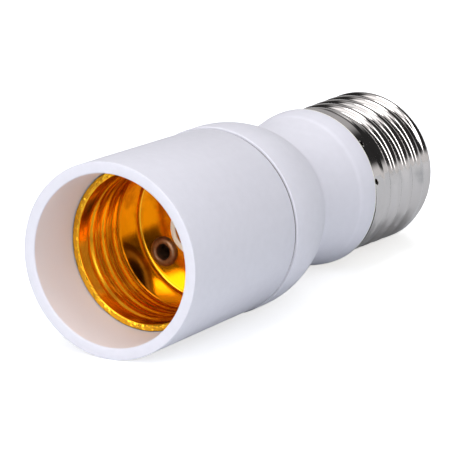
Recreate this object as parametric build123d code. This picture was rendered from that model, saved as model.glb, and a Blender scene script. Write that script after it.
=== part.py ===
"""Lamp socket extension: a screw socket of E27 size in a white body, on a screw cap of the same size.

The axis is Z. The part stands on the rim of its mouth at z = 0, and the cap's tip is at the top.
All sizes are in millimetres. Names ending in _R are radii, and names ending in _Z are heights.
"""
import os
from math import atan2, cos, radians, sin, sqrt

from build123d import *

# Screw thread of the socket and the cap
THREAD_PITCH = 3.629
THREAD_DEPTH = 1.05
FLANK_RUN = 0.8
SHEET = 0.35

# Front sleeve
MOUTH_R = 17.3
RIM_CHAMFER = 0.25
SEAM_R = 16.45
SEAM_Z = 34.0
SEAM_GAP = 0.3
LIP_SEAT_Z = 11.45
MOUTH_DRAFT = 0.25
FLOOR_Z = 30.75
FLOOR_THICKNESS = 2.2
SPIGOT_WALL = 1.6
SPIGOT_LENGTH = 4.0

# Round boss on the sleeve's floor, the guide of the centre contact
BOSS_R = 4.4
BOSS_WALL = 0.85
BOSS_HEIGHT = 4.05
BOSS_SEAT_DEPTH = 1.2

# Socket shell
SOCKET_GROOVE_R = 13.35
SOCKET_LIP_R = 14.6
SOCKET_LIP_BREAK = 0.3
RIDGE_CREST = 0.7
SOCKET_BAND_Z = 14.5
SOCKET_BAND = 10.6
SOCKET_BAND_RUN = 0.4
SOCKET_GROOVE_Z = 12.8
SOCKET_GROOVE_ANGLE = -120.0
SOCKET_TURNS = 3.9

# Hollow rivet that holds the shell to the floor
RIVET_ANGLE = 79.77
RIVET_HEAD_GAP = 0.89
RIVET_TAG_GAP = 0.5
RIVET_HEAD_R = 2.6
RIVET_HEAD_HEIGHT = 0.75
RIVET_HEAD_BEVEL = 0.5
RIVET_R = 1.6
RIVET_HOLE_R = 1.15
RIVET_FLARE_R = 2.1
RIVET_FLARE_HEIGHT = 0.5

# Rear body
BODY_WALL = 2.2
SHOULDER_Z = 35.5
SHOULDER_RADIUS = 24.0
WAIST_Z = 50.3
NECK_BREAK_R = 13.05
NECK_BREAK_Z = 60.3
NECK_LIP_R = 13.75
NECK_LIP_Z = 63.5
NECK_END_Z = 64.6
NECK_EDGE = 0.3
TENON_WALL = 2.2

# Cap shell
CAP_CREST_R = 13.1
CAP_COLLAR_R = 12.9
CAP_COLLAR = 4.0
CAP_COLLAR_RUN = 0.25
CAP_END_Z = 85.3
CAP_TAPER_HEIGHT = 1.9
CAP_TAPER_R = 12.6
CAP_ROLL = 0.7
CAP_LIP_R = 10.4
CAP_GROOVE_ROOT = 0.7
CAP_GROOVE_Z = 70.0
CAP_GROOVE_ANGLE = 100.0
CAP_TURNS = 3.6

# Cap insulator and tip contact
INSULATOR_FLANGE = 1.8
INSULATOR_HEIGHT = 3.2
INSULATOR_TOP_R = 6.4
TIP_R = 4.9
TIP_EDGE = 0.8
TIP_DOME = 1.1
TIP_RECESS = 0.4
TIP_STEM_R = 1.4
TIP_STEM_LENGTH = 6.0

# Sprung centre contact
PLUNGER_PROUD = 0.8
PLUNGER_DOME = 0.5
PLUNGER_HEAD = 1.7
PLUNGER_STEM_R = 1.1
PLUNGER_PEEN_R = 1.7
PLUNGER_PEEN = 0.6
SPRING_WIRE = 0.46
SPRING_R = 2.3
SPRING_TURNS = 3.0
EYELET_FLANGE_R = 2.9
EYELET_FLANGE = 0.3
EYELET_WALL = 0.35
EYELET_FLARE_R = 2.2
EYELET_FLARE = 0.35

# Solder tags and wires
TAG_THICKNESS = 0.4
TAG_WIDTH = 4.2
TAG_REACH = 5.6
LIVE_TAG_ANGLE = 180.0
WIRE_R = 0.9
WIRE_INSET = 1.4
LIVE_STRAIGHT = 8.0
LIVE_END_STRAIGHT = 10.0
NEUTRAL_END_Z = 80.0
WIRE_BEND = 6.0

# Clearances
SHELL_CLEARANCE = 0.2
FIT_CLEARANCE = 0.1
SLIDE_CLEARANCE = 0.15
CONTACT_GAP = 0.05

# Worked out from the values above
SOCKET_OUT_R = SOCKET_GROOVE_R + SHEET
SOCKET_CREST_R = SOCKET_GROOVE_R - THREAD_DEPTH
SHELL_BORE_R = SOCKET_OUT_R + SHELL_CLEARANCE
SHELL_BOTTOM_Z = FLOOR_Z - SHEET
SOCKET_LIP_Z = LIP_SEAT_Z - SHEET
MOUTH_SEAT_R = SOCKET_LIP_R + SHELL_CLEARANCE
MOUTH_BORE_R = MOUTH_SEAT_R + MOUTH_DRAFT
FLOOR_BACK_Z = FLOOR_Z + FLOOR_THICKNESS
BOSS_RIM_Z = FLOOR_Z - BOSS_HEIGHT
BOSS_BORE_R = BOSS_R - BOSS_WALL
BOSS_SEAT_Z = FLOOR_Z + BOSS_SEAT_DEPTH
TAG_BACK_Z = FLOOR_BACK_Z + TAG_THICKNESS
SLEEVE_END_Z = SEAM_Z - SEAM_GAP / 2
BODY_START_Z = SEAM_Z + SEAM_GAP / 2
SPIGOT_R = SEAM_R - BODY_WALL - SLIDE_CLEARANCE
SPIGOT_BORE_R = SPIGOT_R - SPIGOT_WALL
SPIGOT_END_Z = BODY_START_Z + SPIGOT_LENGTH
RIVET_ORBIT = min(
    SOCKET_GROOVE_R - RIVET_HEAD_R - RIVET_HEAD_GAP, SPIGOT_BORE_R - TAG_WIDTH / 2 - RIVET_TAG_GAP)
RIVET_X = RIVET_ORBIT * cos(radians(RIVET_ANGLE))
RIVET_Y = RIVET_ORBIT * sin(radians(RIVET_ANGLE))
CAP_START_Z = NECK_END_Z + CONTACT_GAP
CAP_BORE_R = CAP_CREST_R - THREAD_DEPTH - SHEET
COLLAR_BORE_R = CAP_COLLAR_R - SHEET
TENON_R = COLLAR_BORE_R - CONTACT_GAP
COLLAR_END_Z = CAP_START_Z + CAP_COLLAR
TENON_END_Z = COLLAR_END_Z - SLIDE_CLEARANCE
TENON_BORE_R = TENON_R - TENON_WALL
CAP_CEILING_Z = CAP_END_Z - SHEET
INSULATOR_Z = CAP_CEILING_Z - INSULATOR_FLANGE
INSULATOR_TOP_Z = CAP_END_Z + INSULATOR_HEIGHT
TIP_SEAT_Z = INSULATOR_TOP_Z - TIP_RECESS
TIP_STEM_Z = TIP_SEAT_Z - TIP_STEM_LENGTH
EYELET_BORE_R = PLUNGER_STEM_R + FIT_CLEARANCE
EYELET_R = EYELET_BORE_R + EYELET_WALL
EYELET_END_Z = TAG_BACK_Z + EYELET_FLARE
SPRING_END_Z = BOSS_SEAT_Z - EYELET_FLANGE
PLUNGER_R = BOSS_BORE_R - SLIDE_CLEARANCE
PLUNGER_TOP_Z = BOSS_RIM_Z - PLUNGER_PROUD
PLUNGER_BACK_Z = PLUNGER_TOP_Z + PLUNGER_HEAD
PLUNGER_STOP_Z = EYELET_END_Z + CONTACT_GAP
WIRE_REACH = TAG_REACH - WIRE_INSET
SHELL_TAG_ANGLE = RIVET_ANGLE + 180
LIVE_X = WIRE_REACH * cos(radians(LIVE_TAG_ANGLE))
LIVE_Y = WIRE_REACH * sin(radians(LIVE_TAG_ANGLE))
NEUTRAL_X = RIVET_X + WIRE_REACH * cos(radians(SHELL_TAG_ANGLE))
NEUTRAL_Y = RIVET_Y + WIRE_REACH * sin(radians(SHELL_TAG_ANGLE))


def turned(*edges):
    """Solid turned about Z from a closed outline of (radius, height) edges."""
    return revolve(Plane.XZ * make_face(edges), Axis.Z)


def ring(inner, outer, bottom, top):
    """Plain ring between two radii and two heights."""
    return turned(Polyline((inner, bottom), (outer, bottom), (outer, top), (inner, top), close=True))


def thread_groove(root, root_r, side, start_z, start_angle, turns):
    """Cutter for a right-hand groove with sloping flanks, open outwards (side 1) or inwards (side -1)."""
    reach = side * (THREAD_DEPTH + SHEET)
    mouth = root + FLANK_RUN * (1 + SHEET / THREAD_DEPTH)
    section = make_face(Polyline((0, -root), (reach, -mouth), (reach, mouth), (0, root), close=True))
    helix = Helix(THREAD_PITCH, THREAD_PITCH * turns, root_r, center=(0, 0, start_z))
    start = Plane(origin=helix @ 0, x_dir=(1, 0, 0), z_dir=helix % 0)
    return Rot(0, 0, start_angle) * sweep(start * section, path=helix, is_frenet=True)


def dome_arc(rim_r, rim_z, height):
    """Arc of a round dome from the axis to its rim, downwards where the height is negative."""
    sphere_r = (rim_r**2 + height**2) / (2 * abs(height))
    sag = sphere_r - sqrt(sphere_r**2 - (rim_r / 2)**2)
    middle_z = rim_z + height - (sag if height > 0 else -sag)
    return ThreePointArc((0, rim_z + height), (rim_r / 2, middle_z), (rim_r, rim_z))


def shoulder_radius(z):
    """Radius of the rear body's rounded shoulder at a height."""
    return SEAM_R - SHOULDER_RADIUS + sqrt(SHOULDER_RADIUS**2 - (z - SHOULDER_Z)**2)


def front_sleeve():
    """Tapered tube with the rim, the lip's seat, the floor with its boss, and the spigot behind."""
    c = RIM_CHAMFER
    tube = turned(Polyline(
        (MOUTH_BORE_R + c, 0), (MOUTH_R - c, 0), (MOUTH_R, c), (SEAM_R, SLEEVE_END_Z),
        (SPIGOT_R, SLEEVE_END_Z), (SPIGOT_R, SPIGOT_END_Z), (SPIGOT_BORE_R, SPIGOT_END_Z),
        (SPIGOT_BORE_R, FLOOR_BACK_Z), (EYELET_R + FIT_CLEARANCE, FLOOR_BACK_Z),
        (EYELET_R + FIT_CLEARANCE, BOSS_SEAT_Z),
        (BOSS_BORE_R, BOSS_SEAT_Z), (BOSS_BORE_R, BOSS_RIM_Z), (BOSS_R, BOSS_RIM_Z), (BOSS_R, FLOOR_Z),
        (SHELL_BORE_R, FLOOR_Z), (SHELL_BORE_R, LIP_SEAT_Z), (MOUTH_SEAT_R, LIP_SEAT_Z), (MOUTH_BORE_R, c),
        close=True))
    hole = ring(0, RIVET_R + FIT_CLEARANCE, SHELL_BOTTOM_Z, TAG_BACK_Z)
    return tube - Pos(RIVET_X, RIVET_Y, 0) * hole


def rear_body():
    """Hollow shoulder, waist and flared neck, with the tenon that carries the cap."""
    waist_r = shoulder_radius(WAIST_Z)
    mid_angle = atan2(WAIST_Z - SHOULDER_Z, waist_r - SEAM_R + SHOULDER_RADIUS) / 2
    mid = (SEAM_R - SHOULDER_RADIUS * (1 - cos(mid_angle)), SHOULDER_Z + SHOULDER_RADIUS * sin(mid_angle))
    socket_r = SPIGOT_R + SLIDE_CLEARANCE
    socket_z = SPIGOT_END_Z + SLIDE_CLEARANCE
    waist_bore = waist_r - BODY_WALL
    return turned(
        Polyline((socket_r, BODY_START_Z), (SEAM_R, BODY_START_Z), (SEAM_R, SHOULDER_Z)),
        ThreePointArc((SEAM_R, SHOULDER_Z), mid, (waist_r, WAIST_Z)),
        Polyline((waist_r, WAIST_Z), (NECK_BREAK_R, NECK_BREAK_Z), (NECK_LIP_R, NECK_LIP_Z),
                 (NECK_LIP_R, NECK_END_Z - NECK_EDGE), (NECK_LIP_R - NECK_EDGE, NECK_END_Z),
                 (TENON_R, NECK_END_Z), (TENON_R, TENON_END_Z), (TENON_BORE_R, TENON_END_Z),
                 (TENON_BORE_R, NECK_BREAK_Z), (waist_bore, WAIST_Z),
                 (SPIGOT_BORE_R, socket_z), (socket_r, socket_z), (socket_r, BODY_START_Z)))


def socket_shell():
    """Thin shell with a flat lip, a band of inward thread and a flat bottom with two holes."""
    lip_break_r = SOCKET_GROOVE_R + SOCKET_LIP_BREAK
    lip_break_z = SOCKET_LIP_Z + SOCKET_LIP_BREAK
    band_end_z = SOCKET_BAND_Z + SOCKET_BAND
    tube = turned(Polyline(
        (lip_break_r, SOCKET_LIP_Z), (SOCKET_LIP_R, SOCKET_LIP_Z), (SOCKET_LIP_R, LIP_SEAT_Z),
        (SOCKET_OUT_R, LIP_SEAT_Z), (SOCKET_OUT_R, FLOOR_Z), (BOSS_R + SHELL_CLEARANCE, FLOOR_Z),
        (BOSS_R + SHELL_CLEARANCE, SHELL_BOTTOM_Z), (SOCKET_GROOVE_R, SHELL_BOTTOM_Z),
        (SOCKET_GROOVE_R, band_end_z), (SOCKET_CREST_R, band_end_z - SOCKET_BAND_RUN),
        (SOCKET_CREST_R, SOCKET_BAND_Z + SOCKET_BAND_RUN), (SOCKET_GROOVE_R, SOCKET_BAND_Z),
        (SOCKET_GROOVE_R, lip_break_z), close=True))
    root = (THREAD_PITCH - RIDGE_CREST) / 2 - FLANK_RUN
    root_r = SOCKET_GROOVE_R - CONTACT_GAP
    groove = thread_groove(root, root_r, -1, SOCKET_GROOVE_Z, SOCKET_GROOVE_ANGLE, SOCKET_TURNS)
    hole = ring(0, RIVET_R + FIT_CLEARANCE, SHELL_BOTTOM_Z - SHEET, FLOOR_Z + SHEET)
    return tube - groove - Pos(RIVET_X, RIVET_Y, 0) * hole


def shell_rivet():
    """Hollow rivet: rounded head on the shell's bottom, shank through the floor, flare over the tag."""
    head_z = SHELL_BOTTOM_Z - RIVET_HEAD_HEIGHT
    flare_z = TAG_BACK_Z + RIVET_FLARE_HEIGHT
    crown_r = RIVET_HEAD_R - RIVET_HEAD_BEVEL
    rivet = turned(Polyline(
        (RIVET_HEAD_R, SHELL_BOTTOM_Z), (crown_r, head_z), (RIVET_HOLE_R + RIVET_HEAD_BEVEL, head_z),
        (RIVET_HOLE_R, head_z + RIVET_HEAD_BEVEL), (RIVET_HOLE_R, flare_z), (RIVET_FLARE_R, TAG_BACK_Z),
        (RIVET_R, TAG_BACK_Z), (RIVET_R, SHELL_BOTTOM_Z), close=True))
    return Pos(RIVET_X, RIVET_Y, 0) * rivet


def contact_plunger():
    """Domed brass button on a stem, with a peened end that stops it behind the eyelet."""
    peen_z = PLUNGER_STOP_Z + PLUNGER_PEEN
    rim_z = PLUNGER_TOP_Z + PLUNGER_DOME
    return turned(
        dome_arc(PLUNGER_R, rim_z, -PLUNGER_DOME),
        Polyline((PLUNGER_R, rim_z), (PLUNGER_R, PLUNGER_BACK_Z), (PLUNGER_STEM_R, PLUNGER_BACK_Z),
                 (PLUNGER_STEM_R, PLUNGER_STOP_Z), (PLUNGER_PEEN_R, PLUNGER_STOP_Z), (PLUNGER_STEM_R, peen_z),
                 (0, peen_z), (0, PLUNGER_TOP_Z)))


def contact_spring():
    """Coil spring between the plunger's head and the eyelet's flange."""
    half = SPRING_WIRE / 2
    length = SPRING_END_Z - PLUNGER_BACK_Z - SPRING_WIRE
    helix = Helix(length / SPRING_TURNS, length, SPRING_R, center=(0, 0, PLUNGER_BACK_Z + half))
    start = Plane(origin=helix @ 0, x_dir=(1, 0, 0), z_dir=helix % 0)
    return sweep(start * Rectangle(SPRING_WIRE, SPRING_WIRE), path=helix, is_frenet=True)


def contact_eyelet():
    """Flanged eyelet through the floor, flared over the live tag."""
    return turned(Polyline(
        (EYELET_BORE_R, SPRING_END_Z), (EYELET_FLANGE_R, SPRING_END_Z), (EYELET_FLANGE_R, BOSS_SEAT_Z),
        (EYELET_R, BOSS_SEAT_Z), (EYELET_R, TAG_BACK_Z), (EYELET_FLARE_R, TAG_BACK_Z),
        (EYELET_R, EYELET_END_Z), (EYELET_BORE_R, EYELET_END_Z), close=True))


def solder_tag(hole_r, angle):
    """Flat tag on the floor's back, with a hole at one end and its other end at an angle."""
    outline = Pos((TAG_REACH - TAG_WIDTH / 2) / 2, 0) * Rectangle(TAG_REACH + TAG_WIDTH / 2, TAG_WIDTH)
    plate = extrude(outline - Circle(hole_r), TAG_THICKNESS)
    return Pos(0, 0, FLOOR_BACK_Z) * Rot(0, 0, angle) * plate


def live_tag():
    """Tag under the centre contact's eyelet."""
    return solder_tag(EYELET_R + FIT_CLEARANCE, LIVE_TAG_ANGLE)


def shell_tag():
    """Tag under the shell's rivet."""
    return Pos(RIVET_X, RIVET_Y, 0) * solder_tag(RIVET_R + FIT_CLEARANCE, SHELL_TAG_ANGLE)


def wire_along(points):
    """Round wire along straight runs joined by arcs."""
    path = FilletPolyline(*points, radius=WIRE_BEND)
    return sweep(Plane(origin=path @ 0, z_dir=path % 0) * Circle(WIRE_R), path=path)


def live_wire():
    """From the live tag, through the waist, to the stem of the tip."""
    return wire_along([
        (LIVE_X, LIVE_Y, TAG_BACK_Z), (LIVE_X, LIVE_Y, TAG_BACK_Z + LIVE_STRAIGHT),
        (0, 0, TIP_STEM_Z - LIVE_END_STRAIGHT), (0, 0, TIP_STEM_Z),
    ])


def neutral_wire():
    """From the shell tag, straight through the waist, then aslant to the cap's wall."""
    stretch = (CAP_BORE_R - WIRE_R - SLIDE_CLEARANCE) / sqrt(NEUTRAL_X**2 + NEUTRAL_Y**2)
    return wire_along([
        (NEUTRAL_X, NEUTRAL_Y, TAG_BACK_Z), (NEUTRAL_X, NEUTRAL_Y, NECK_BREAK_Z),
        (NEUTRAL_X * stretch, NEUTRAL_Y * stretch, NEUTRAL_END_Z),
    ])


def cap_shell():
    """Threaded cap with a plain collar, rounded in over the insulator at its end."""
    tube = turned(Polyline(
        (COLLAR_BORE_R, CAP_START_Z), (CAP_COLLAR_R, CAP_START_Z),
        (CAP_COLLAR_R, COLLAR_END_Z - CAP_COLLAR_RUN), (CAP_CREST_R, COLLAR_END_Z),
        (CAP_CREST_R, CAP_END_Z - CAP_TAPER_HEIGHT),
        (CAP_TAPER_R, CAP_END_Z - CAP_ROLL), (CAP_TAPER_R - CAP_ROLL, CAP_END_Z), (CAP_LIP_R, CAP_END_Z),
        (CAP_LIP_R, CAP_CEILING_Z), (CAP_BORE_R, CAP_CEILING_Z), (CAP_BORE_R, COLLAR_END_Z),
        (COLLAR_BORE_R, COLLAR_END_Z), close=True))
    root_r = CAP_CREST_R - THREAD_DEPTH
    groove = thread_groove(CAP_GROOVE_ROOT / 2, root_r, 1, CAP_GROOVE_Z, CAP_GROOVE_ANGLE, CAP_TURNS)
    return tube - groove


def cap_insulator():
    """Black disc held under the cap's rounded end, rising to the seat of the tip."""
    flange_r = CAP_BORE_R - FIT_CLEARANCE
    top_z = CAP_CEILING_Z - CONTACT_GAP
    neck_r = CAP_LIP_R - FIT_CLEARANCE
    bore = TIP_STEM_R + FIT_CLEARANCE
    return turned(Polyline(
        (bore, INSULATOR_Z), (flange_r, INSULATOR_Z), (flange_r, top_z), (neck_r, top_z),
        (neck_r, CAP_END_Z), (INSULATOR_TOP_R, INSULATOR_TOP_Z), (TIP_R + FIT_CLEARANCE, INSULATOR_TOP_Z),
        (TIP_R + FIT_CLEARANCE, TIP_SEAT_Z), (bore, TIP_SEAT_Z), close=True))


def tip_contact():
    """Domed tip with a stem through the insulator, where the live wire ends."""
    edge_z = TIP_SEAT_Z + TIP_EDGE
    return turned(
        dome_arc(TIP_R, edge_z, TIP_DOME),
        Polyline((TIP_R, edge_z), (TIP_R, TIP_SEAT_Z), (TIP_STEM_R, TIP_SEAT_Z), (TIP_STEM_R, TIP_STEM_Z),
                 (0, TIP_STEM_Z), (0, edge_z + TIP_DOME)))


PIECES = (
    front_sleeve, rear_body, socket_shell, shell_rivet, contact_plunger, contact_spring, contact_eyelet,
    live_tag, shell_tag, live_wire, neutral_wire, cap_shell, cap_insulator, tip_contact,
)

os.makedirs("parts", exist_ok=True)
for piece in PIECES:
    export_step(piece(), f"parts/{piece.__name__}.step")
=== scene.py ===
"""Lamp socket extension: the looks of a white body with a gold screw socket and a nickel screw cap.

Heights run along the axis, from the rim of the mouth at zero to the tip of the cap.
Outlines are drawn in millimetres, as (radius, height, rounding) corners, and every mesh is in metres.
"""
from math import atan2, cos, degrees, hypot, pi, radians, sin, sqrt

import bmesh
import bpy
from bpy.props import FloatProperty, FloatVectorProperty, IntProperty, PointerProperty
from mathutils import Matrix, Vector


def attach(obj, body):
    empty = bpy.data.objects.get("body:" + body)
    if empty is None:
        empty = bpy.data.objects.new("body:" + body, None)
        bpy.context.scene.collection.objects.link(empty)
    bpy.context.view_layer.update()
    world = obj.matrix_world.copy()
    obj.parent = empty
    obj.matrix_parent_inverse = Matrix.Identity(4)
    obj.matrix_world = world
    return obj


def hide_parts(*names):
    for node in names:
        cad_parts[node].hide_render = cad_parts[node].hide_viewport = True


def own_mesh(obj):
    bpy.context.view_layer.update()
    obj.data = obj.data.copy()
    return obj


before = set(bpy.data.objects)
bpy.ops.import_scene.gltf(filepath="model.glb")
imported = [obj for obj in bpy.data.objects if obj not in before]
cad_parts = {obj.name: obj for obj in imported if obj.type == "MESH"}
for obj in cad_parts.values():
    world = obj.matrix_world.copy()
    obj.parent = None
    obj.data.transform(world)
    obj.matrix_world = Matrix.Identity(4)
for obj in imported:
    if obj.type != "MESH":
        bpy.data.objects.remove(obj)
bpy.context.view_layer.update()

bl_info = {
    "name": "Lamp socket extension",
    "version": (1, 0, 0),
    "blender": (4, 5, 0),
    "location": "3D View > Sidebar > Lamp socket",
    "description": "Builds the pieces, finishes and studio of a lamp socket extension",
    "category": "Object",
}

MM = 0.001
# In millimetres: the pitch of both threads, and the rivet's hole, which goes through the shell and the floor.
PITCH = 3.629
RIVET_PLACE = (1.751, 9.703)
RIVET_BORE = 1.7


def linear(code):
    """Linear colour of an sRGB hex value."""
    parts = [int(code[i:i + 2], 16) / 255 for i in (1, 3, 5)]
    return [c / 12.92 if c <= 0.04045 else ((c + 0.055) / 1.055) ** 2.4 for c in parts]


def size(name, description, millimetres):
    """A length in the sidebar."""
    return FloatProperty(
        name=name, description=description, default=millimetres * MM, unit="LENGTH", precision=5)


def tint(name, description, code):
    """A colour in the sidebar."""
    return FloatVectorProperty(
        name=name, description=description, default=linear(code), subtype="COLOR", min=0, max=1)


class BodySizes(bpy.types.PropertyGroup):
    """Sizes of the white sleeve and the body behind its seam."""
    mouth: size("Mouth radius", "Outer radius of the rim", 17.3)
    seam: size("Seam radius", "Outer radius at the seam", 16.45)
    seam_height: size("Seam height", "Middle of the seam's gap", 34.0)
    seam_gap: size("Seam gap", "Width of the seam's gap", 0.4)
    shoulder: size("Shoulder rounding", "Radius of the shoulder's long curve", 22.0)
    waist_height: size("Waist height", "Height of the narrowest place", 51.0)
    neck: size("Neck radius", "Radius where the neck starts to flare", 13.05)
    neck_lip: size("Neck lip radius", "Outer radius of the neck's lip", 13.75)
    neck_end: size("Neck end height", "Height of the neck's end, on which the cap stands", 64.6)
    boss: size("Boss radius", "Outer radius of the round boss in the socket", 4.55)


class SocketSizes(bpy.types.PropertyGroup):
    """Sizes of the gold socket shell and its rivet."""
    wall: size("Shell radius", "Inner radius of the plain wall", 13.35)
    lip: size("Lip radius", "Outer radius of the flat lip", 14.6)
    lip_height: size("Lip height", "Height of the lip's front face", 11.1)
    bottom_height: size("Bottom height", "Height of the shell's flat bottom", 30.4)
    ridge: size("Thread depth", "How far the ridges stand in", 0.72)
    sheet: size("Sheet", "Thickness of the drawn sheet", 0.3)
    rivet: size("Rivet radius", "Radius of the rivet's head", 2.7)
    rivet_hole: size("Rivet hole radius", "Radius of the hole through the rivet", 1.3)


class CapSizes(bpy.types.PropertyGroup):
    """Sizes of the screw cap, its insulator and its tip."""
    collar: size("Collar radius", "Outer radius of the plain collar", 12.9)
    crest: size("Crest radius", "Outer radius of the thread's crests", 13.1)
    groove: size("Thread depth", "Depth of the rolled groove", 1.05)
    end_height: size("End height", "Height of the shell's rounded end", 85.3)
    tip: size("Tip radius", "Radius of the tip contact", 4.9)
    tip_height: size("Tip height", "Height of the tip's top", 90.0)


class ContactSizes(bpy.types.PropertyGroup):
    """Sizes of the sprung centre contact."""
    button: size("Button radius", "Radius of the contact's button", 3.4)
    button_height: size("Button height", "Height of the button's top, at rest", 26.9)
    wire: size("Spring wire", "Diameter of the spring's wire", 0.46)
    coil: size("Spring radius", "Radius at the middle of the wire", 2.3)
    turns: IntProperty(name="Spring turns", description="Full turns of the spring", default=3, min=2, max=8)


class Finishes(bpy.types.PropertyGroup):
    """Colours of the finishes, some of them painted light on the white plastic."""
    white: tint("White plastic", "The moulded body", "#E9E8F1")
    # Painted light: a brighter cream than the white, for the boss lit through the mouth and a highlight on
    # the neck's edge.
    lit_cream: tint("Cream boss", "The boss inside the socket", "#FFFDF0")
    # Painted light: the mouth's warmer tint stands in for light thrown back from the gold.
    gold_bounce: tint("Warm mouth", "The inside of the mouth, next to the gold", "#EDE3E1")
    gold: tint("Gold", "The anodised socket shell", "#FFC02E")
    nickel: tint("Nickel", "The plated cap", "#D4CFCC")
    rivet: tint("Rivet", "The oxidised rivet", "#A07C60")
    brass: tint("Brass", "The contacts and tags", "#C79A4B")
    steel: tint("Steel", "The spring", "#A3A3A6")
    black: tint("Black glass", "The cap's insulator", "#0C0C0F")
    brown: tint("Brown insulation", "The live wire", "#5A2D15")
    blue: tint("Blue insulation", "The neutral wire", "#1F4FA3")


class LampSocketSettings(bpy.types.PropertyGroup):
    """All that can be set on the lamp socket extension."""
    body: PointerProperty(type=BodySizes)
    socket: PointerProperty(type=SocketSizes)
    cap: PointerProperty(type=CapSizes)
    contact: PointerProperty(type=ContactSizes)
    finishes: PointerProperty(type=Finishes)


def choose(piece, wanted):
    """Select the vertices, in edit mode, whose place satisfies a test."""
    bpy.ops.mesh.select_all(action="DESELECT")
    mesh = bmesh.from_edit_mesh(piece.data)
    for vert in mesh.verts:
        vert.select = wanted(vert.co)
    mesh.select_flush(True)
    bmesh.update_edit_mesh(piece.data)


def near(*places):
    """A test for vertices that lie at one of some (radius, height) places of an outline."""
    spots = [Vector((radius, 0, height)) * MM for radius, height in places]
    return lambda co: any((co - spot).length < 1e-6 for spot in spots)


def between(low, high, inner=0, outer=99):
    """A test for vertices between two heights and two radii."""
    return lambda co: low * MM - 1e-6 < co.z < high * MM + 1e-6 and inner * MM < co.xy.length < outer * MM


def draw(name, corners, closed=True):
    """Draw an outline by extruding a vertex from corner to corner, then round the corners that say so."""
    bpy.ops.object.select_all(action="DESELECT")
    bpy.ops.mesh.primitive_plane_add(size=MM)
    piece = bpy.context.object
    piece.name = name
    piece.data.name = name
    bpy.ops.object.mode_set(mode="EDIT")
    bpy.ops.mesh.merge(type="CENTER")
    last = Vector((0, 0, 0))
    for index, (radius, height, *_) in enumerate(corners):
        place = Vector((radius, 0, height)) * MM
        if index == 0:
            bpy.ops.transform.translate(value=place)
        else:
            bpy.ops.mesh.extrude_vertices_move(TRANSFORM_OT_translate={"value": place - last})
        last = place
    if closed:
        choose(piece, near(corners[0][:2], corners[-1][:2]))
        bpy.ops.mesh.edge_face_add()
    for radius, height, *rounding in corners:
        if rounding:
            choose(piece, near((radius, height)))
            segments = max(3, round(5 * rounding[0] ** 0.5))
            bpy.ops.mesh.bevel(offset=rounding[0] * MM, segments=segments, affect="VERTICES")
    return piece


def divide(piece, wanted, *cuts):
    """Divide the chosen stretch of an outline, and then its parts again for each further number of cuts."""
    for count in cuts:
        choose(piece, wanted)
        bpy.ops.mesh.subdivide(number_cuts=count)


def turn(piece, steps):
    """Turn an outline about the axis and close the seam."""
    bpy.ops.mesh.select_all(action="SELECT")
    bpy.ops.mesh.spin(steps=steps, angle=2 * pi, center=(0, 0, 0), axis=(0, 0, 1))
    bpy.ops.mesh.select_all(action="SELECT")
    bpy.ops.mesh.remove_doubles(threshold=1e-6)
    bpy.ops.mesh.normals_make_consistent(inside=False)
    bpy.ops.object.mode_set(mode="OBJECT")
    return piece


def arc(centre, radius, first, last, count):
    """Corners along an arc, from one angle to another in degrees, in the outline's plane."""
    angles = [radians(first + (last - first) * i / count) for i in range(count + 1)]
    return [(centre[0] + radius * cos(a), centre[1] + radius * sin(a)) for a in angles]


def knuckle(share, depth):
    """Depth of a rolled knuckle thread, from its deepest line (share 0) to its crest (half the pitch)."""
    run = abs(share) * PITCH
    curve = (PITCH ** 2 / 16 + depth ** 2 / 4) / depth
    if run < PITCH / 4:
        return depth - curve + sqrt(curve ** 2 - run ** 2)
    return curve - sqrt(curve ** 2 - (PITCH / 2 - run) ** 2)


def push(vert, sink):
    """Move a vertex towards the axis, by a number of millimetres."""
    x, y, _ = vert.co / MM
    radius = hypot(x, y)
    vert.co.x -= x / radius * sink * MM
    vert.co.y -= y / radius * sink * MM


def roll_thread(piece, wanted, height, angle, turns, depth, fade):
    """Roll a right-hand thread inwards, from a height and an angle, fading over a share of a turn."""
    for vert in filter(lambda v: wanted(v.co), piece.data.vertices):
        x, y, z = vert.co / MM
        along = (z - height) / PITCH
        part = (atan2(y, x) / (2 * pi) - angle / 360) % 1
        line = round(along - part) + part
        ease = min(1, max(0, min(line + fade, turns + fade - line) / (2 * fade)))
        push(vert, ease * ease * (3 - 2 * ease) * knuckle(along - line, depth))


def dent(piece, wanted, angle, height, width, depth):
    """Push a round dent of a width into the wall, at an angle and a height."""
    for vert in filter(lambda v: wanted(v.co), piece.data.vertices):
        x, y, z = vert.co / MM
        turned = (atan2(y, x) - radians(angle) + pi) % (2 * pi) - pi
        away = hypot(turned * hypot(x, y), z - height) / (width / 2)
        if away < 1:
            push(vert, depth * (1 - away ** 2) ** 2)


def flare(piece, low, run, angle, most):
    """Spread the edge of a collar outwards on one side, fading out over a run above the edge."""
    for vert in piece.data.vertices:
        x, y, z = vert.co / MM
        ease = max(0, 1 - (z - low) / run) ** 2
        share = (1 + cos(atan2(y, x) - radians(angle))) / 2
        push(vert, -ease * most * share ** 4)


def bore(piece, radius, place, low, high):
    """Drill a round hole along the axis, at a place off it, from one height to another."""
    x, y = place
    bpy.ops.object.select_all(action="DESELECT")
    bpy.ops.mesh.primitive_cylinder_add(
        vertices=48, radius=radius * MM, depth=(high - low) * MM,
        location=(x * MM, y * MM, (low + high) / 2 * MM))
    drill = bpy.context.object
    bpy.context.view_layer.objects.active = piece
    cut = piece.modifiers.new("Hole", "BOOLEAN")
    cut.operation = "DIFFERENCE"
    cut.solver = "EXACT"
    cut.object = drill
    bpy.ops.object.modifier_apply(modifier=cut.name)
    bpy.data.objects.remove(drill)


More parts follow.
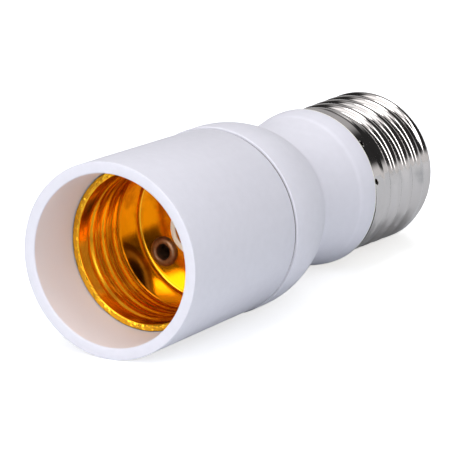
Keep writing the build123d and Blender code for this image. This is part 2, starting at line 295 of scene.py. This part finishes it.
def finish(piece, material, body, node, angle=32):
    """Smooth a piece, give it its material, and put it on its body in place of a node."""
    bpy.ops.object.select_all(action="DESELECT")
    piece.select_set(True)
    bpy.context.view_layer.objects.active = piece
    bpy.ops.object.shade_smooth_by_angle(angle=radians(angle))
    piece.data.materials.clear()
    piece.data.materials.append(material)
    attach(piece, body)
    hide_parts(node)


def add(tree, kind, settings=None, inputs=None, links=None):
    """Add a node with its settings, its sockets' values and the outputs that are linked into it."""
    node = tree.nodes.new(kind)
    for key, value in (settings or {}).items():
        setattr(node, key, value)
    for key, value in (inputs or {}).items():
        node.inputs[key].default_value = value
    for key, output in (links or {}).items():
        tree.links.new(output, node.inputs[key])
    return node


def new_material(name):
    """An empty material, made anew each run."""
    material = bpy.data.materials.new(name)
    material.use_nodes = True
    material.node_tree.nodes.clear()
    return material


def region(tree, place, places):
    """A mask of the places (least and most radius, least and most height) on a turned piece."""
    parts = add(tree, "ShaderNodeSeparateXYZ", {}, {}, {"Vector": place})
    flat = add(tree, "ShaderNodeCombineXYZ", {}, {}, {"X": parts.outputs["X"], "Y": parts.outputs["Y"]})
    away = add(tree, "ShaderNodeVectorMath", {"operation": "LENGTH"}, {}, {"Vector": flat.outputs["Vector"]})
    total = None
    for inner, outer, low, high in places:
        ring = add(tree, "ShaderNodeMath", {"operation": "COMPARE"},
                   {1: (inner + outer) / 2 * MM, 2: (outer - inner) / 2 * MM}, {0: away.outputs["Value"]})
        band = add(tree, "ShaderNodeMath", {"operation": "COMPARE"},
                   {1: (low + high) / 2 * MM, 2: (high - low) / 2 * MM}, {0: parts.outputs["Z"]})
        both = add(tree, "ShaderNodeMath", {"operation": "MULTIPLY"}, {},
                   {0: ring.outputs[0], 1: band.outputs[0]})
        if total is None:
            total = both
        else:
            total = add(tree, "ShaderNodeMath", {"operation": "MAXIMUM"}, {},
                        {0: total.outputs[0], 1: both.outputs[0]})
    return total.outputs[0]


def moulded_abs(name, colour, gold_bounce, lit_cream):
    """Injection-moulded white ABS: an even satin skin, faint orange peel, specks of dust, and painted light
    and shade in places.
    """
    material = new_material(name)
    tree = material.node_tree
    place = add(tree, "ShaderNodeTexCoord").outputs["Object"]
    # Orange peel about 1.5 mm wide, and a finer grain of 0.2 mm from the tool's surface.
    peel = add(tree, "ShaderNodeTexNoise", {}, {"Scale": 650.0, "Detail": 2.0}, {"Vector": place})
    grain = add(tree, "ShaderNodeTexNoise", {}, {"Scale": 5000.0, "Detail": 1.0}, {"Vector": place})
    # Dust: specks about 0.3 mm wide in cells of 4 mm, of which few hold one.
    cells = add(tree, "ShaderNodeTexVoronoi", {"feature": "F1"}, {"Scale": 260.0, "Randomness": 1.0},
                {"Vector": place})
    speck = add(tree, "ShaderNodeMapRange", {"interpolation_type": "SMOOTHSTEP"},
                {"From Min": 0.03, "From Max": 0.045, "To Min": 1.0, "To Max": 0.0},
                {"Value": cells.outputs["Distance"]})
    rare = add(tree, "ShaderNodeSeparateColor", {}, {}, {"Color": cells.outputs["Color"]})
    pick = add(tree, "ShaderNodeMath", {"operation": "GREATER_THAN"}, {1: 0.93}, {0: rare.outputs["Red"]})
    dust = add(tree, "ShaderNodeMath", {"operation": "MULTIPLY"}, {},
               {0: speck.outputs["Result"], 1: pick.outputs["Value"]})
    tone = add(tree, "ShaderNodeMix", {"data_type": "RGBA"},
               {6: (*colour, 1), 7: (*[c * 0.94 for c in colour], 1)}, {0: peel.outputs["Fac"]})
    dirty = add(tree, "ShaderNodeMix", {"data_type": "RGBA"}, {7: (*linear("#8A8178"), 1)},
                {0: dust.outputs["Value"], 6: tone.outputs[2]})
    # Painted light and shade on the white: the mouth's wall is a little warmer, painted light thrown back
    # from the gold, the boss in the socket is a brighter cream, painted light as if lit through the mouth,
    # and the same cream is a painted highlight on the edge under the cap. The seam's gap is darker, painted
    # shade, and the wall of the hole in the boss is painted orange.
    mouth_wall = (0, 15.2, 0.2, 12)
    boss = (0, 5, 20, 40)
    neck_edge = (13.3, 14, 64.3, 65)
    # Painted shade: the seam's gap is darkened.
    seam_gap = (13.8, 16.1, 33.6, 34.4)
    # The wall of the hole in the boss is painted orange.
    boss_hole = (0, 3.62, 26.62, 31.9)
    # The dust, then the painted light and shade and the orange hole, one over another.
    dust_and_painted_light = dirty
    for shade, places in ((gold_bounce, [mouth_wall]), (lit_cream, [boss, neck_edge]),
                          (linear("#857B78"), [seam_gap]), (linear("#E8A844"), [boss_hole])):
        dust_and_painted_light = add(tree, "ShaderNodeMix", {"data_type": "RGBA"}, {7: (*shade, 1)},
                   {0: region(tree, place, places), 6: dust_and_painted_light.outputs[2]})
    satin = add(tree, "ShaderNodeMapRange", {}, {"To Min": 0.36, "To Max": 0.5},
                {"Value": peel.outputs["Fac"]})
    wavy = add(tree, "ShaderNodeBump", {}, {"Strength": 0.05, "Distance": 0.1 * MM},
               {"Height": peel.outputs["Fac"]})
    skin = add(tree, "ShaderNodeBump", {}, {"Strength": 0.06, "Distance": 0.02 * MM},
               {"Height": grain.outputs["Fac"], "Normal": wavy.outputs["Normal"]})
    shader = add(tree, "ShaderNodeBsdfPrincipled", {}, {"IOR": 1.54, "Specular IOR Level": 0.45},
                 {"Base Color": dust_and_painted_light.outputs[2], "Roughness": satin.outputs["Result"],
                  "Normal": skin.outputs["Normal"]})
    add(tree, "ShaderNodeOutputMaterial", {}, {}, {"Surface": shader.outputs["BSDF"]})
    return material


def turned_metal(name, colour, dark, rough, ring, mark, streak=0.0, painted_shade=(), uneven=()):
    """A drawn, turned or rolled metal: fine rings round the axis, an uneven polish and a few darker stains.

    The rings' width and the depth of their marks are in millimetres. Painted shade makes the given places
    near black, the shadowed gaps at edges and the shade in punched dents, and an edge that was turned over by
    hand tools is uneven.
    """
    material = new_material(name)
    tree = material.node_tree
    place = add(tree, "ShaderNodeTexCoord").outputs["Object"]
    # Drawing lines run round the axis, so the noise is 70 mm wide across it, and along it as fine as a ring.
    lines = add(tree, "ShaderNodeMapping", {}, {"Scale": (15.0, 15.0, 1.0 / (ring * MM))}, {"Vector": place})
    drawn = add(tree, "ShaderNodeTexNoise", {}, {"Scale": 1.0, "Detail": 3.0},
                {"Vector": lines.outputs["Vector"]})
    # Stains about 5 mm wide.
    stain = add(tree, "ShaderNodeTexNoise", {}, {"Scale": 180.0, "Detail": 4.0}, {"Vector": place})
    mask = add(tree, "ShaderNodeMapRange", {"interpolation_type": "SMOOTHSTEP"},
               {"From Min": 0.5, "From Max": 0.75}, {"Value": stain.outputs["Fac"]})
    tone = add(tree, "ShaderNodeMix", {"data_type": "RGBA"}, {6: (*colour, 1), 7: (*dark, 1)},
               {0: mask.outputs["Result"]})
    polish = add(tree, "ShaderNodeMapRange", {}, {"To Min": rough * 0.7, "To Max": rough * 1.5},
                 {"Value": drawn.outputs["Fac"]})
    marks = add(tree, "ShaderNodeBump", {}, {"Strength": 1.0, "Distance": mark * MM},
                {"Height": drawn.outputs["Fac"]})
    # Painted shade: near black over the given places, the shadowed gaps at edges and the shade in dents.
    if painted_shade:
        tone = add(tree, "ShaderNodeMix", {"data_type": "RGBA"}, {7: (*linear("#241B14"), 1)},
                   {0: region(tree, place, painted_shade), 6: tone.outputs[2]})
    if uneven:
        # Waves about 1 mm wide.
        wave = add(tree, "ShaderNodeTexNoise", {}, {"Scale": 1000.0, "Detail": 2.0}, {"Vector": place})
        marks = add(tree, "ShaderNodeBump", {}, {"Distance": 0.6 * MM},
                    {"Strength": region(tree, place, uneven), "Height": wave.outputs["Fac"],
                     "Normal": marks.outputs["Normal"]})
    # Reflections smear across the rings.
    round_axis = add(tree, "ShaderNodeTangent", {"direction_type": "RADIAL", "axis": "Z"})
    shader = add(tree, "ShaderNodeBsdfPrincipled", {},
                 {"Metallic": 1.0, "Anisotropic": streak, "Anisotropic Rotation": 0.25},
                 {"Base Color": tone.outputs[2], "Roughness": polish.outputs["Result"],
                  "Normal": marks.outputs["Normal"], "Tangent": round_axis.outputs["Tangent"]})
    add(tree, "ShaderNodeOutputMaterial", {}, {}, {"Surface": shader.outputs["BSDF"]})
    return material


def oxidised_brass(name, colour):
    """A brass rivet browned by heat: dull dark skin, rubbed lighter in patches."""
    material = new_material(name)
    tree = material.node_tree
    place = add(tree, "ShaderNodeTexCoord").outputs["Object"]
    # Patches about 0.8 mm wide.
    patch = add(tree, "ShaderNodeTexNoise", {}, {"Scale": 1250.0, "Detail": 4.0}, {"Vector": place})
    tone = add(tree, "ShaderNodeMix", {"data_type": "RGBA"},
               {6: (*[c * 0.2 for c in colour], 1), 7: (*[min(1, c * 1.8) for c in colour], 1)},
               {0: patch.outputs["Fac"]})
    dull = add(tree, "ShaderNodeMapRange", {}, {"To Min": 0.2, "To Max": 0.5},
               {"Value": patch.outputs["Fac"]})
    rubbed = add(tree, "ShaderNodeBump", {}, {"Strength": 0.2, "Distance": 0.03 * MM},
                 {"Height": patch.outputs["Fac"]})
    shader = add(tree, "ShaderNodeBsdfPrincipled", {}, {"Metallic": 0.75},
                 {"Base Color": tone.outputs[2], "Roughness": dull.outputs["Result"],
                  "Normal": rubbed.outputs["Normal"]})
    add(tree, "ShaderNodeOutputMaterial", {}, {}, {"Surface": shader.outputs["BSDF"]})
    return material


def soft_skin(name, colour, smooth, rough, coat):
    """Pressed glass or soft PVC: one deep colour, a smooth skin with slow waves, and a gloss that varies."""
    material = new_material(name)
    tree = material.node_tree
    place = add(tree, "ShaderNodeTexCoord").outputs["Object"]
    # Slow waves about 2 mm wide.
    wave = add(tree, "ShaderNodeTexNoise", {}, {"Scale": 500.0, "Detail": 2.0}, {"Vector": place})
    tone = add(tree, "ShaderNodeMix", {"data_type": "RGBA"},
               {6: (*colour, 1), 7: (*[min(1, c * 1.35 + 0.004) for c in colour], 1)},
               {0: wave.outputs["Fac"]})
    gloss = add(tree, "ShaderNodeMapRange", {}, {"To Min": smooth, "To Max": rough},
                {"Value": wave.outputs["Fac"]})
    skin = add(tree, "ShaderNodeBump", {}, {"Strength": 0.08, "Distance": 0.1 * MM},
               {"Height": wave.outputs["Fac"]})
    shader = add(tree, "ShaderNodeBsdfPrincipled", {}, {"IOR": 1.52, "Coat Weight": coat},
                 {"Base Color": tone.outputs[2], "Roughness": gloss.outputs["Result"],
                  "Normal": skin.outputs["Normal"]})
    add(tree, "ShaderNodeOutputMaterial", {}, {}, {"Surface": shader.outputs["BSDF"]})
    return material


class LAMP_OT_body(bpy.types.Operator):
    """Model the white front sleeve and the rear body"""
    bl_idname = "lamp.body"
    bl_label = "White body"

    def execute(self, context):
        settings = context.scene.lamp_socket
        s = settings.body
        mouth, seam, boss = s.mouth / MM, s.seam / MM, s.boss / MM
        front = (s.seam_height - s.seam_gap / 2) / MM
        back = (s.seam_height + s.seam_gap / 2) / MM
        finishes = settings.finishes
        white = moulded_abs("moulded_white_abs", finishes.white, finishes.gold_bounce, finishes.lit_cream)
        # Inside the sleeve: the mouth's wall down to a ledge, the pocket for the shell, the floor with its
        # boss, the contact's guide and stem hole in the boss, and the spigot that goes into the rear body.
        opening, ledge, ledge_height = 15.2, 14.8, 11.45
        pocket, floor, floor_back = 13.9, 30.75, 32.95
        boss_end, guide, guide_end, stem_hole = 26.5, 3.55, 31.95, 1.65
        spigot, spigot_bore, spigot_end = 14.1, 12.5, 38.15
        sleeve = draw("white_front_sleeve", [
            (opening, 0, 0.3), (mouth, 0, 0.22), (seam - 0.15, front, 0.1), (spigot, front),
            (spigot, spigot_end, 0.4), (spigot_bore, spigot_end, 0.4), (spigot_bore, floor_back),
            (stem_hole, floor_back), (stem_hole, guide_end), (guide, guide_end, 0.2), (guide, boss_end, 0.15),
            (boss, boss_end, 0.2), (boss, floor, 0.2), (pocket, floor, 0.2), (pocket, ledge_height),
            (ledge, ledge_height, 0.15),
        ])
        turn(sleeve, 160)
        bore(sleeve, RIVET_BORE, RIVET_PLACE, low=30, high=34)
        finish(sleeve, white, "housing", "front_sleeve")

        # The shoulder's curve starts behind the seam, and ends at the waist with a small hollow rounding.
        start, waist, shoulder = 37.0, s.waist_height / MM, s.shoulder / MM
        reach = sqrt(shoulder ** 2 - (waist - start) ** 2)
        curve = arc((seam - shoulder, start), shoulder, 0, degrees(atan2(waist - start, reach)), 28)
        waist_radius, waist_wall = curve[-1][0], 2.2
        neck, lip, end = s.neck / MM, s.neck_lip / MM, s.neck_end / MM
        flare_foot, flare_bend, lip_foot, lip_end = 60.2, 60.9, 63.6, end - 0.1
        # The cap's collar goes over a tenon beyond the neck, and the spigot into a pocket at the seam.
        tenon, tenon_bore, tenon_foot, tenon_end = 12.5, 10.3, 60.3, 68.5
        pocket, pocket_end, pocket_step = 14.25, 38.3, 12.5
        body = draw("white_rear_body", [
            (pocket, back), (seam + 0.1, back, 0.22), *curve[:-3], (waist_radius, waist, 0.95),
            (neck, flare_foot, 0.3), (neck + 0.3, flare_bend, 0.4), (lip, lip_foot, 0.8), (lip, lip_end, 0.3),
            (tenon, lip_end), (tenon, tenon_end, 0.4), (tenon_bore, tenon_end, 0.4), (tenon_bore, tenon_foot),
            (waist_radius - waist_wall, waist, 3), (pocket_step, pocket_end), (pocket, pocket_end),
        ])
        turn(body, 160)
        finish(body, white, "housing", "rear_body")
        return {"FINISHED"}


class LAMP_OT_socket(bpy.types.Operator):
    """Model the gold socket shell with its rolled thread, and the hollow rivet in its bottom"""
    bl_idname = "lamp.socket"
    bl_label = "Gold socket"

    def execute(self, context):
        settings = context.scene.lamp_socket
        s = settings.socket
        wall, lip, sheet = s.wall / MM, s.lip / MM, s.sheet / MM
        top, bottom = s.lip_height / MM, s.bottom_height / MM
        # The lip's outer edge is painted near black: a painted shadow of the gap between the lip and the
        # white wall.
        gold = turned_metal(
            "gold_anodised_sheet", settings.finishes.gold, linear("#D08A22"),
            rough=0.12, ring=0.35, mark=0.02, streak=0.7,
            painted_shade=[(lip - 0.12, lip + 1, 0, 20)], uneven=[(wall + 0.2, lip - 0.1, top - 1, top + 0.5)])
        # The thread is rolled into the good face, and the face behind it, which nothing shows, stays plain.
        boss_hole, outside = 4.6, wall + sheet
        shell = draw("gold_socket_shell", [
            (lip, top + 0.12), (lip - 0.15, top), (wall, top, 0.35), (wall, bottom, 0.5), (boss_hole, bottom),
            (boss_hole, bottom + sheet), (outside, bottom + sheet, 0.5), (outside, top + sheet),
            (lip, top + sheet),
        ])
        good_face = wall + 0.1
        divide(shell, between(top + 0.3, bottom - 0.4, outer=good_face), 100, 1)
        divide(shell, between(bottom - 1e-3, bottom), 14)
        turn(shell, 240)
        roll_thread(
            shell, between(0, bottom, outer=good_face), height=13.2, angle=-120, turns=2.75,
            depth=s.ridge / MM, fade=0.09)
        bore(shell, RIVET_BORE, RIVET_PLACE, low=29, high=32)
        finish(shell, gold, "housing", "socket_shell", angle=40)

        browned = oxidised_brass("oxidised_rivet_brass", settings.finishes.rivet)
        head, hole = s.rivet / MM, s.rivet_hole / MM
        head_top = bottom - 0.75
        shank, tail, tail_height, tail_end = 1.6, 2.1, 33.35, 33.85
        rivet = draw("hollow_rivet", [
            (head, bottom, 0.1), (head - 0.35, head_top, 0.45), (hole, head_top, 0.4), (hole, tail_end, 0.1),
            (tail, tail_height, 0.1), (shank, tail_height), (shank, bottom),
        ])
        turn(rivet, 64)
        bpy.ops.object.mode_set(mode="EDIT")
        bpy.ops.mesh.select_all(action="SELECT")
        bpy.ops.transform.translate(value=(RIVET_PLACE[0] * MM, RIVET_PLACE[1] * MM, 0))
        bpy.ops.object.mode_set(mode="OBJECT")
        finish(rivet, browned, "housing", "shell_rivet")
        return {"FINISHED"}


class LAMP_OT_contact(bpy.types.Operator):
    """Model the sprung centre contact, and finish the eyelet, tags and wires behind it"""
    bl_idname = "lamp.contact"
    bl_label = "Centre contact"

    def execute(self, context):
        settings = context.scene.lamp_socket
        s = settings.contact
        colours = settings.finishes
        brass = turned_metal(
            "turned_brass", colours.brass, linear("#7A5526"), rough=0.3, ring=0.1, mark=0.006)
        # The spring stands between the button's back and the eyelet's flange, and the stem ends in a head.
        button, top, button_back, flange = s.button / MM, s.button_height / MM, 27.6, 31.65
        stem, stem_head, head_height, stem_end = 1.1, 1.7, 33.75, 34.35
        plunger = draw("brass_contact_button", [
            (0, top), (button * 0.5, top + 0.05, 0.8), (button, top + 0.3, 0.2), (button, button_back, 0.15),
            (stem, button_back), (stem, head_height), (stem_head, head_height, 0.15), (stem, stem_end, 0.2),
            (0, stem_end),
        ], closed=False)
        turn(plunger, 72)
        finish(plunger, brass, "contact", "contact_plunger")

        steel = turned_metal(
            "drawn_spring_wire", colours.steel, linear("#5E5E62"), rough=0.22, ring=0.2, mark=0.003)
        low, high = button_back + s.wire / MM / 2, flange - s.wire / MM / 2
        bpy.ops.object.select_all(action="DESELECT")
        bpy.ops.mesh.primitive_circle_add(
            vertices=14, radius=s.wire / 2, location=(s.coil, 0, low * MM), rotation=(pi / 2, 0, 0))
        spring = bpy.context.object
        spring.name = "coil_spring"
        bpy.ops.object.transform_apply(location=True, rotation=True, scale=True)
        coil = spring.modifiers.new("Coil", "SCREW")
        coil.angle = 2 * pi * s.turns
        coil.screw_offset = (high - low) * MM
        coil.steps = 36 * s.turns
        coil.render_steps = coil.steps
        bpy.ops.object.modifier_apply(modifier=coil.name)
        bpy.ops.object.mode_set(mode="EDIT")
        bpy.ops.mesh.select_all(action="SELECT")
        bpy.ops.mesh.fill_holes(sides=0)
        bpy.ops.mesh.normals_make_consistent(inside=False)
        bpy.ops.object.mode_set(mode="OBJECT")
        finish(spring, steel, "housing", "contact_spring", angle=50)
        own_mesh(spring)

        live = soft_skin("brown_pvc_insulation", colours.brown, smooth=0.4, rough=0.6, coat=0.0)
        neutral = soft_skin("blue_pvc_insulation", colours.blue, smooth=0.4, rough=0.6, coat=0.0)
        kept = {"contact_eyelet": brass, "live_tag": brass, "shell_tag": brass,
                "live_wire": live, "neutral_wire": neutral}
        for node, material in kept.items():
            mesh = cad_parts[node].data
            mesh.materials.clear()
            mesh.materials.append(material)
        return {"FINISHED"}


class LAMP_OT_cap(bpy.types.Operator):
    """Model the nickel screw cap, its black insulator and its tip"""
    bl_idname = "lamp.cap"
    bl_label = "Screw cap"

    def execute(self, context):
        settings = context.scene.lamp_socket
        s = settings.cap
        colours = settings.finishes
        collar, crest, end = s.collar / MM, s.crest / MM, s.end_height / MM
        # The collar runs from its edge to the thread, and the sheet is turned in at the far end.
        edge, collar_end, thread_start, sheet = 64.9, 68.4, 68.8, 0.35
        turned_in, inside, backing = 10.4, 11.65, collar - sheet
        dent_height, dent_width = 66.4, 1.35
        # The punched dents and the collar's edge are painted near black: painted shade in the dents, and a
        # painted shadow where the collar meets the neck's lip.
        nickel = turned_metal(
            "nickel_plate", colours.nickel, linear("#B9B6B4"), rough=0.09, ring=0.3, mark=0.0006,
            painted_shade=[(0, collar - 0.12, edge + 0.05, dent_height + 1.1), (0, collar + 1, 60, edge + 0.2)])
        shell = draw("nickel_screw_cap", [
            (collar, edge), (collar, collar_end, 0.4), (crest, thread_start, 0.4), (crest, end - 1.5, 0.6),
            (crest - 0.9, end, 0.8), (turned_in, end), (turned_in, end - sheet), (inside, end - sheet),
            (inside, collar_end + 0.3), (backing, collar_end + 0.15), (backing, edge),
        ])
        good_face = backing + 0.05
        divide(shell, between(edge - 0.1, collar_end - 0.3, inner=good_face), 30)
        divide(shell, between(edge - 0.1, collar_end + 0.2, outer=good_face), 24)
        divide(shell, between(thread_start + 0.3, end - 2.0, inner=good_face), 100, 1)
        turn(shell, 300)
        outside = between(60, end, inner=good_face)
        roll_thread(shell, outside, height=70, angle=100, turns=3.6, depth=s.groove / MM, fade=0.09)
        for angle in (253, 285, 73, 105):
            dent(shell, outside, angle, dent_height, dent_width, depth=0.36)
        flare(shell, edge, run=0.7, angle=320, most=0.8)
        finish(shell, nickel, "housing", "cap_shell", angle=40)

        glass = soft_skin("black_pressed_glass", colours.black, smooth=0.06, rough=0.16, coat=0.3)
        # The disc is held under the turned-in edge, and the tip stands in a round seat on its top.
        wire_hole, disc, disc_low, disc_top = 1.5, 11.6, 83.15, 84.9
        cone, cone_top, cone_end, seat, tip_seat = 10.3, 6.4, 88.5, 5.0, 88.1
        insulator = draw("black_insulator", [
            (wire_hole, disc_low), (disc, disc_low, 0.3), (disc, disc_top, 0.2), (cone, disc_top),
            (cone, end, 0.25), (cone_top, cone_end, 0.6), (seat, cone_end, 0.15), (seat, tip_seat),
            (wire_hole, tip_seat),
        ])
        turn(insulator, 96)
        finish(insulator, glass, "housing", "cap_insulator")

        brass = bpy.data.materials["turned_brass"]
        tip, height = s.tip / MM, s.tip_height / MM
        stem, stem_end = 1.4, 82.1
        contact = draw("brass_tip", [
            (0, height), (1.6, height - 0.1, 1.0), (2.0, height - 0.42, 0.2), (tip * 0.8, height - 0.62, 0.8),
            (tip, height - 1.1, 0.3), (tip, tip_seat), (stem, tip_seat), (stem, stem_end, 0.2), (0, stem_end),
        ], closed=False)
        turn(contact, 72)
        finish(contact, brass, "housing", "tip_contact")
        return {"FINISHED"}


class LAMP_OT_stage(bpy.types.Operator):
    """Set up the camera, the studio light and the pale floor on which the part lies"""
    bl_idname = "lamp.stage"
    bl_label = "Stage"

    def execute(self, context):
        scene = context.scene
        settings = scene.lamp_socket
        scene.view_settings.view_transform = "Standard"
        # The axis leans from the line of sight and swings from the picture's level. The camera is far off,
        # so that there is hardly any perspective, and it looks at a place beside the middle of the rim.
        lean, swing = radians(34.5806), radians(20.5975)
        distance, aside, above = 2200, 19.85, 5.978
        away = Vector((0, sin(lean), cos(lean)))
        across = Vector((0, -cos(lean), sin(lean)))
        right = across * cos(swing) + Vector((sin(swing), 0, 0))
        up = across * sin(swing) - Vector((cos(swing), 0, 0))
        place = (right * aside + up * above - away * distance) * MM
        lens = bpy.data.cameras.new("camera")
        lens.sensor_width = 36
        lens.lens = 1031.0
        lens.clip_end = 50
        camera = bpy.data.objects.new("camera", lens)
        camera.matrix_world = Matrix((
            (right.x, up.x, -away.x, place.x), (right.y, up.y, -away.y, place.y),
            (right.z, up.z, -away.z, place.z), (0, 0, 0, 1)))
        scene.collection.objects.link(camera)
        scene.camera = camera

        # The part lies on its rim and on the last crest of its cap.
        ceiling = Vector((-0.910, -0.415, 0)).normalized()
        rim, crest, crest_height = settings.body.mouth, settings.cap.crest, 80.7 * MM
        normal = (ceiling - Vector((0, 0, (rim - crest) / crest_height))).normalized()
        bpy.ops.object.select_all(action="DESELECT")
        bpy.ops.mesh.primitive_plane_add(size=1.6)
        floor = context.object
        floor.name = "pale_floor"
        floor.rotation_mode = "QUATERNION"
        floor.rotation_quaternion = Vector((0, 0, 1)).rotation_difference(normal)
        floor.location = ceiling * -rim
        paint = new_material("pale_floor")
        tree = paint.node_tree
        side = add(tree, "ShaderNodeNewGeometry")
        path = add(tree, "ShaderNodeLightPath")
        ahead = (away - ceiling * away.dot(ceiling)).normalized()
        nearer = add(tree, "ShaderNodeVectorMath", {"operation": "DOT_PRODUCT"}, {1: -ahead},
                     {0: side.outputs["Position"]})
        # The floor in front of the part throws more light on it, and looks white with a soft shadow.
        thrown = add(tree, "ShaderNodeMapRange", {"interpolation_type": "SMOOTHSTEP"},
                     {"From Min": -0.05, "From Max": 0.03, "To Min": 0.0, "To Max": 0.1},
                     {"Value": nearer.outputs["Value"]})
        seen = add(tree, "ShaderNodeMapRange", {"interpolation_type": "SMOOTHSTEP"},
                   {"From Min": -0.036, "From Max": -0.016, "To Min": 0.71, "To Max": 0.625},
                   {"Value": nearer.outputs["Value"]})
        lift = add(tree, "ShaderNodeMix", {"data_type": "FLOAT"}, {},
                   {0: path.outputs["Is Camera Ray"], 2: thrown.outputs["Result"], 3: seen.outputs["Result"]})
        white = add(tree, "ShaderNodeBsdfDiffuse", {}, {"Color": (0.70, 0.73, 0.765, 1)})
        glow = add(tree, "ShaderNodeEmission", {}, {"Color": (1.0, 0.985, 0.96, 1)},
                   {"Strength": lift.outputs[0]})
        lit = add(tree, "ShaderNodeAddShader", {}, {}, {0: white.outputs[0], 1: glow.outputs[0]})
        clear = add(tree, "ShaderNodeBsdfTransparent")
        sided = add(tree, "ShaderNodeMixShader", {}, {},
                    {0: side.outputs["Backfacing"], 1: lit.outputs[0], 2: clear.outputs[0]})
        add(tree, "ShaderNodeOutputMaterial", {}, {}, {"Surface": sided.outputs[0]})
        floor.data.materials.append(paint)

        world = bpy.data.worlds.new("studio")
        world.use_nodes = True
        scene.world = world
        tree = world.node_tree
        tree.nodes.clear()
        direction = add(tree, "ShaderNodeTexCoord").outputs["Generated"]
        parts = []
        for axis in (ahead, ahead.cross(ceiling), ceiling):
            dot = add(tree, "ShaderNodeVectorMath", {"operation": "DOT_PRODUCT"}, {1: axis}, {0: direction})
            parts.append(dot.outputs["Value"])
        bearing = add(tree, "ShaderNodeMath", {"operation": "ARCTAN2"}, {},
                      {0: parts[1], 1: parts[0]}).outputs[0]
        height = add(tree, "ShaderNodeMath", {"operation": "ARCSINE"}, {}, {0: parts[2]}).outputs[0]
        # The studio round the part, each panel over those before it: its bearings, where 0 is behind the
        # part and 90 is on its right, its heights, the softness of its edges, all in degrees, and its
        # brightness. The last two are the dark room round the camera.
        studio = [
            (-200, 200, -100, 10, 4, 0.8),
            (-25, 36, -2, 46, 9, 0.52),
            (-25, 30, -2, 24, 6, 0.42),
            (10, 52, 63, 84, 9, 0.9),
            (-200, 28, 62, 100, 8, 0.9),
            (-200, 200, 76, 100, 3, 7.0),
            (-157, -108, 20, 62, 6, 1.6),
            (-200, -150, 42, 64, 5, 2.0),
            (-157, -128, 26, 40, 3, 3.6),
            (-160, -130, 0, 24, 3, 3.3),
            (120, 200, 54, 78, 6, 0.7),
            (151, 164, 2, 58, 2, 2.6),
            (151, 164, 10, 58, 2, 5.0),
            (170, 200, -1, 36, 4, 0.03),
            (-200, -162, -1, 36, 4, 0.03),
        ]
        shade = add(tree, "ShaderNodeValue").outputs[0]
        shade.default_value = 0.03
        for first, last, low, high, soft, bright in studio:
            mask = None
            for value, edge, run in ((bearing, first, soft), (bearing, last, -soft),
                                     (height, low, soft), (height, high, -soft)):
                step = add(tree, "ShaderNodeMapRange", {"interpolation_type": "SMOOTHSTEP"},
                           {"From Min": radians(edge - run), "From Max": radians(edge + run)},
                           {"Value": value})
                if mask is None:
                    mask = step.outputs["Result"]
                else:
                    mask = add(tree, "ShaderNodeMath", {"operation": "MULTIPLY"}, {},
                               {0: mask, 1: step.outputs["Result"]}).outputs[0]
            shade = add(tree, "ShaderNodeMix", {"data_type": "FLOAT"}, {3: bright},
                        {0: mask, 2: shade}).outputs[0]
        light = add(tree, "ShaderNodeBackground", {}, {"Color": (0.985, 0.985, 1.0, 1)}, {"Strength": shade})
        paper = add(tree, "ShaderNodeBackground", {}, {"Color": (1, 1, 1, 1), "Strength": 1.0})
        path = add(tree, "ShaderNodeLightPath")
        shown = add(tree, "ShaderNodeMixShader", {}, {},
                    {0: path.outputs["Is Camera Ray"], 1: light.outputs[0], 2: paper.outputs[0]})
        add(tree, "ShaderNodeOutputWorld", {}, {}, {"Surface": shown.outputs[0]})
        return {"FINISHED"}


OPERATORS = (LAMP_OT_body, LAMP_OT_socket, LAMP_OT_contact, LAMP_OT_cap, LAMP_OT_stage)


class LAMP_PT_panel(bpy.types.Panel):
    """Lists the pieces of the lamp socket extension"""
    bl_idname = "LAMP_PT_panel"
    bl_label = "Lamp socket extension"
    bl_space_type = "VIEW_3D"
    bl_region_type = "UI"
    bl_category = "Lamp socket"

    def draw(self, context):
        for operator in OPERATORS:
            self.layout.operator(operator.bl_idname)


CLASSES = (
    BodySizes, SocketSizes, CapSizes, ContactSizes, Finishes, LampSocketSettings, *OPERATORS, LAMP_PT_panel)


def register():
    """Make the settings, the operators and the panel known."""
    for cls in CLASSES:
        bpy.utils.register_class(cls)
    bpy.types.Scene.lamp_socket = PointerProperty(type=LampSocketSettings)


def unregister():
    """Take away what register() made known."""
    del bpy.types.Scene.lamp_socket
    for cls in reversed(CLASSES):
        bpy.utils.unregister_class(cls)


def main():
    """Build every piece and the stage."""
    register()
    bpy.ops.lamp.body()
    bpy.ops.lamp.socket()
    bpy.ops.lamp.contact()
    bpy.ops.lamp.cap()
    bpy.ops.lamp.stage()


if __name__ == "__main__":
    main()
